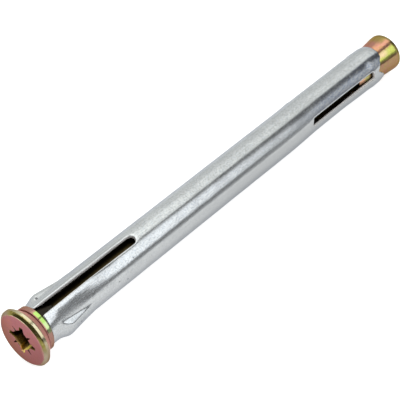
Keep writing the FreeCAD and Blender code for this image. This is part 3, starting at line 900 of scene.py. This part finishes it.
def yellow_bush():
    m = Net("yellow_zinc_bush")
    vec, x, r, deg = m.own()
    b = m.bsdf
    b.inputs["Specular Tint"].default_value = TINT
    m.link(m.range(x, 3.28, 3.45, 0.35, 0.95), b.inputs["Metallic"])
    mid = m.noise(vec, 0.7, 3.0, 0.6, 0.6)
    fine = m.noise(vec, 3.5, 3.0, 0.6)
    lime = m.ramp(mid, [(0.3, (138, 170, 84)), (0.6, (150, 182, 100)), (0.8, (172, 176, 104))])
    pink = m.ramp(mid, [(0.3, (142, 104, 96)), (0.6, (148, 116, 102)), (0.8, (142, 122, 100))])
    # lime on the side between about -8 and 58 degrees, pink round the rest: the plating's tints, laid where the lamps
    # reflect, so partly painted reflection
    u = m.math("ADD", deg, m.math("MULTIPLY", m.math("SUBTRACT", mid, 0.5), 14.0))
    k = m.math("MULTIPLY", m.range(u, -1.0, 5.0, 0, 1), m.range(u, 54.0, 64.0, 1, 0))
    lime = m.mix(m.range(deg, 32.0, 38.0, 0.0, 0.8), lime, col((166, 180, 134)))
    c = m.mix(k, pink, lime)
    c = m.mix(m.range(x, 3.45, 3.62, 1, 0), c, col((150, 106, 99)))
    # past the collar, inside the sleeve, the bush is painted near-black: painted shade
    c = m.mix(m.range(x, 4.5, 4.75, 0, 1), c, col((44, 41, 36)))
    m.link(c, b.inputs["Base Color"])
    m.link(m.math("ADD", 0.1, m.math("MULTIPLY", fine, 0.10)), b.inputs["Roughness"])
    m.bump(m.math("ADD", mid, m.math("MULTIPLY", fine, 0.3)), 0.015 * MM)
    return m.mat


def yellow_nut():
    m = Net("yellow_zinc_nut")
    vec, x, r, deg = m.own()
    b = m.bsdf
    b.inputs["Specular Tint"].default_value = TINT
    # painted highlight and reflection at the cone's small end, where it is seen in the tip slot: peach at its rim,
    # olive-lime behind, less metallic
    slot_glint = m.math("MULTIPLY", m.range(x, 118.6, 120.6, 1.0, 0.0),
                  m.range(m.math("ABSOLUTE", m.math("SUBTRACT", deg, 68.0)), 12.0, 22.0, 1.0, 0.0))
    m.link(m.math("SUBTRACT", 0.92, m.math("MULTIPLY", slot_glint, 0.62)), b.inputs["Metallic"])
    big = m.noise(vec, 0.4, 3.0, 0.6, 0.8)
    mid = m.noise(vec, 1.0, 3.0, 0.6, 0.6)
    fine = m.noise(vec, 4.0, 3.0, 0.6)
    rings = m.noise(m.scaled(vec, (3.5, 0.12, 0.12)), 1.0, 2.0, 0.6)
    # tints in bands round the nut by angle: plating colours laid where the lamps' reflections fall, so partly painted
    # reflection; the peach band is a painted highlight
    top = m.ramp(big, [(0.3, (166, 116, 112)), (0.5, (166, 118, 104)), (0.7, (158, 126, 96))])
    peach = m.ramp(big, [(0.3, (212, 146, 134)), (0.5, (214, 156, 128)), (0.7, (200, 156, 100))])
    lime = m.ramp(mid, [(0.3, (186, 192, 82)), (0.6, (192, 196, 104)), (0.8, (192, 176, 116))])
    brown = m.ramp(mid, [(0.3, (150, 112, 96)), (0.55, (146, 120, 84)), (0.8, (152, 126, 102))])
    u = m.math("ADD", deg, m.math("MULTIPLY", m.math("SUBTRACT", big, 0.5), 22.0))
    c = m.mix(m.range(u, -12.0, 8.0, 0, 1), top, peach)
    # olive where the top nears the rim
    ol = m.math("MULTIPLY", m.range(x, 127.6, 130.0, 0.0, 0.8), m.range(u, 12.0, 0.0, 0.0, 1.0))
    c = m.mix(ol, c, col((146, 134, 72)))
    c = m.mix(m.range(u, 23.0, 35.0, 0, 1), c, lime)
    pale = m.math("MULTIPLY", m.range(x, 126.5, 129.5, 0.75, 0.0), m.range(u, 52.0, 40.0, 0.0, 1.0))
    pale = m.math("MULTIPLY", pale, m.range(u, 26.0, 32.0, 0.0, 1.0))
    c = m.mix(pale, c, col((226, 190, 160)))
    c = m.mix(m.range(u, 52.0, 63.0, 0, 1), c, brown)
    # painted shade: two darker lines along the nut where gaps between the lamps reflect
    for at, half, much in ((25.6, 1.9, 0.62), (61.0, 2.4, 0.5)):
        gap_line = m.range(m.math("ABSOLUTE", m.math("SUBTRACT", m.math("ADD", deg, m.math("MULTIPLY", big, 1.5)), at + 0.75)),
                       0.3 * half, half, much, 0.0)
        gap_line = m.math("MULTIPLY", gap_line, m.math("MULTIPLY", m.range(x, 122.0, 124.5, 0, 1), m.range(x, 129.8, 130.8, 1, 0)))
        c = m.mix(gap_line, c, col((84, 58, 40)))
    c = m.mix(m.range(x, 130.6, 131.5, 0, 1), c, col((134, 116, 72)))
    # painted highlight at the small end's rim, painted reflection behind it
    c = m.mix(slot_glint, c, m.mix(m.range(x, 117.3, 118.6, 0, 1), col((224, 172, 138)), col((176, 172, 108))))
    m.link(c, b.inputs["Base Color"])
    m.link(m.math("ADD", 0.12, m.math("MULTIPLY", fine, 0.10)), b.inputs["Roughness"])
    h = m.math("ADD", mid, m.math("MULTIPLY", rings, 0.5))
    m.bump(m.math("ADD", h, m.math("MULTIPLY", fine, 0.3)), 0.018 * MM)
    return m.mat


HEAD = yellow_face()
RECESS = recess_metal()
# thread and shank carry painted shade, the shank most
THREAD = yellow_thread()
SHANK = yellow_thread("yellow_zinc_shank", 0.88)
BUSH = yellow_bush()
NUT = yellow_nut()

# ------------------------------------------------------------------- pieces
v, f, mi = sleeve_mesh()
sleeve = build("sleeve_rolled", v, f, PLACE["sleeve"], "sleeve", ["sleeve"],
               [ZINC, ZINC_IN, ZINC_CUT], mi, 50.0)

# screw: head and shank, then thread and end
hv, hf, hm = screw_head()
tv, tf = thread(71.8, 130.6, 2.95, 2.42, 48)
ev, ef = revolved([(130.6, 2.9), (131.0, 2.35), (131.0, 1.2), (131.0, 0.02)], 48, False)
verts = np.vstack([hv, tv, ev])
faces = ([tuple(q) for q in hf] + [tuple(i + len(hv) for i in q) for q in tf]
         + [tuple(i + len(hv) + len(tv) for i in q) for q in ef])
mi = list(hm) + [3] * (len(tf) + len(ef))
screw = build("screw_turned", verts, faces, PLACE["screw"], "screw", ["screw"],
              [HEAD, RECESS, SHANK, THREAD], mi, 38.0)

# bush: its outside sits a little askew round a bore that follows the screw's cone
prof = soften([(3.3, 5.115, 0.0), (3.215, 5.33, 0.05), (3.32, 5.42, 0.08), (4.42, 5.42, 0.12),
               (4.62, 5.2, 0.1), (4.74, 4.54, 0.1), (8.8, 3.66, 0.15), (9.0, 3.54, 0.1),
               (9.0, 3.25, 0.1), (5.28, 3.25, 0.1), (3.3, 5.115, 0.0)], 0.3)[:-1]
bv, bf = revolved(prof, 180, True)
skew = (Matrix.Translation(Vector((0, 0.8256, 0.5641)) * 0.14 + Vector((3.9, 0, 0)))
        @ Matrix.Rotation(math.radians(-1.5), 4, Vector((0, -0.5641, 0.8256)))
        @ Matrix.Translation(Vector((-3.9, 0, 0))))
br = np.hypot(bv[:, 1], bv[:, 2])
share = smooth01((br - 5.14) / 0.16) * (bv[:, 0] < 4.5) + (bv[:, 0] >= 4.5) * smooth01((br - 3.4) / 0.2)
moved = np.array([tuple(skew @ Vector(p)) for p in bv])
bv = bv + (moved - bv) * share[:, None]
# nowhere into the head's cone
bv[:, 0] = np.maximum(bv[:, 0], 8.39 - np.hypot(bv[:, 1], bv[:, 2]))
bush = build("bush_turned", bv, bf, PLACE["bush"], "sleeve", ["cone_bush"],
             [BUSH], None, 50.0)

# nut: outside and ends, with the thread in its bore
prof = soften([(116.2, 3.05, 0.0), (115.9, 3.3, 0.08), (115.9, 3.42, 0.1), (116.15, 3.66, 0.12),
               (130.9, 5.035, 0.25), (131.80, 5.035, 0.12), (132.0, 4.84, 0.12), (132.0, 3.4, 0.1),
               (131.65, 3.05, 0.0)], 0.3)
nv, nf = revolved(prof, 160, False)
tv, tf = thread(116.2, 131.65, 3.05, 3.05, 64, 0.0, 0.6, 0.6, True)
verts, faces, mi = joined([(nv, nf, 0), (tv, tf, 1)])
nut = build("nut_turned", verts, faces, PLACE["nut"], "nut", ["cone_nut"],
            [NUT, THREAD], mi, 50.0)

# -------------------------------------------------------------------- stage
me = bpy.data.meshes.new("floor")
S = 3.0
me.from_pydata([(-S, -S, 0), (S, -S, 0), (S, S, 0), (-S, S, 0)], [], [(0, 1, 2, 3)])
floor = bpy.data.objects.new("floor", me)
bpy.context.scene.collection.objects.link(floor)
fm = bpy.data.materials.new("floor_pale")
fm.use_nodes = True
p = fm.node_tree.nodes["Principled BSDF"]
p.inputs["Base Color"].default_value = (0.5, 0.5, 0.5, 1)
p.inputs["Roughness"].default_value = 0.9
p.inputs["Specular IOR Level"].default_value = 0.1
p.inputs["Emission Color"].default_value = (1.0, 1.0, 1.0, 1)
p.inputs["Emission Strength"].default_value = 0.80
me.materials.append(fm)

world = bpy.data.worlds.new("studio")
bpy.context.scene.world = world
world.use_nodes = True
world.node_tree.nodes["Background"].inputs[0].default_value = (1, 1, 1, 1)
world.node_tree.nodes["Background"].inputs[1].default_value = 0.17


def soft_light(name, x0, x1, ang, dist, wide, glow, tint=(1, 1, 1)):
    """Long softbox lying along X, at an angle about the object's axis."""
    la = bpy.data.lights.new(name, "AREA")
    la.shape = "RECTANGLE"
    la.size = x1 - x0
    la.size_y = wide
    la.energy = glow * math.pi * la.size * la.size_y
    la.color = tint
    ob = bpy.data.objects.new(name, la)
    bpy.context.scene.collection.objects.link(ob)
    a = math.radians(ang)
    d = Vector((0, -math.sin(a), math.cos(a)))
    ob.location = Vector((0.5 * (x0 + x1), 0, 0.006)) + d * dist
    # its -Z looks at the object's line, its X lies along the object
    z = d
    xax = Vector((1, 0, 0))
    yax = z.cross(xax)
    ob.matrix_world = Matrix.Translation(ob.location) @ Matrix((xax, yax, z)).transposed().to_4x4()
    return ob


def strip_width(a0, a1, dist):
    return 2 * dist * math.tan(math.radians(abs(a1 - a0) / 2))


D = 1.2
COOL = (0.95, 0.98, 1.0)
WARM = (0.98, 1.0, 0.97)
# the front softbox: a row of panels that grow dimmer and narrower to the right
for k, (x0, x1, a0, a1, glow) in enumerate((
        (-0.15, 0.64, 12, 72, 1.98), (0.64, 0.76, 13.5, 71, 1.88), (0.76, 0.88, 17, 67, 1.52),
        (0.88, 1.0, 25, 67, 1.0), (1.0, 1.14, 35, 72, 0.66), (1.14, 2.6, 41, 72, 0.52))):
    soft_light("soft_front_%d" % k, x0, x1, 0.5 * (a0 + a1), D, strip_width(a0, a1, D), glow, COOL)
# the back softbox: brightest overhead
for k, (x0, x1, a0, a1, glow) in enumerate((
        (-0.9, 0.72, -42, 6, 1.95), (0.72, 0.95, -42, 5, 1.2), (0.95, 2.4, -42, 5, 1.08),
        (-0.9, 0.72, -96, -42, 1.15), (0.72, 2.4, -96, -42, 0.95))):
    soft_light("soft_back_%d" % k, x0, x1, 0.5 * (a0 + a1), D, strip_width(a0, a1, D), glow, WARM)
# a low fill between the front softbox and the floor
soft_light("soft_fill_0", -0.9, 0.95, 84.5, D, strip_width(80, 89, D), 0.32, COOL)
soft_light("soft_fill_1", 0.95, 2.4, 80.5, D, strip_width(72, 89, D), 0.42, COOL)

# ------------------------------------------------------------------- camera
cam = bpy.data.cameras.new("camera")
cam.sensor_fit = "HORIZONTAL"
cam.sensor_width = 36.0
cam.lens = 1354.62 * 36.0 / 400.0
cam.clip_start, cam.clip_end = 0.01, 20
cob = bpy.data.objects.new("camera", cam)
bpy.context.scene.collection.objects.link(cob)
right = Vector((0.64913, -0.7607, 0.0)).normalized()
fwd = Vector((0.54783, 0.4675, -0.6938)).normalized()
right = (right - fwd * right.dot(fwd)).normalized()
up = right.cross(fwd).normalized()
cob.matrix_world = Matrix.Translation((-0.18120, -0.14721, 0.22419)) @ Matrix((right, up, -fwd)).transposed().to_4x4()
bpy.context.scene.camera = cob

sc = bpy.context.scene
sc.view_settings.view_transform = "Standard"
sc.view_settings.look = "None"
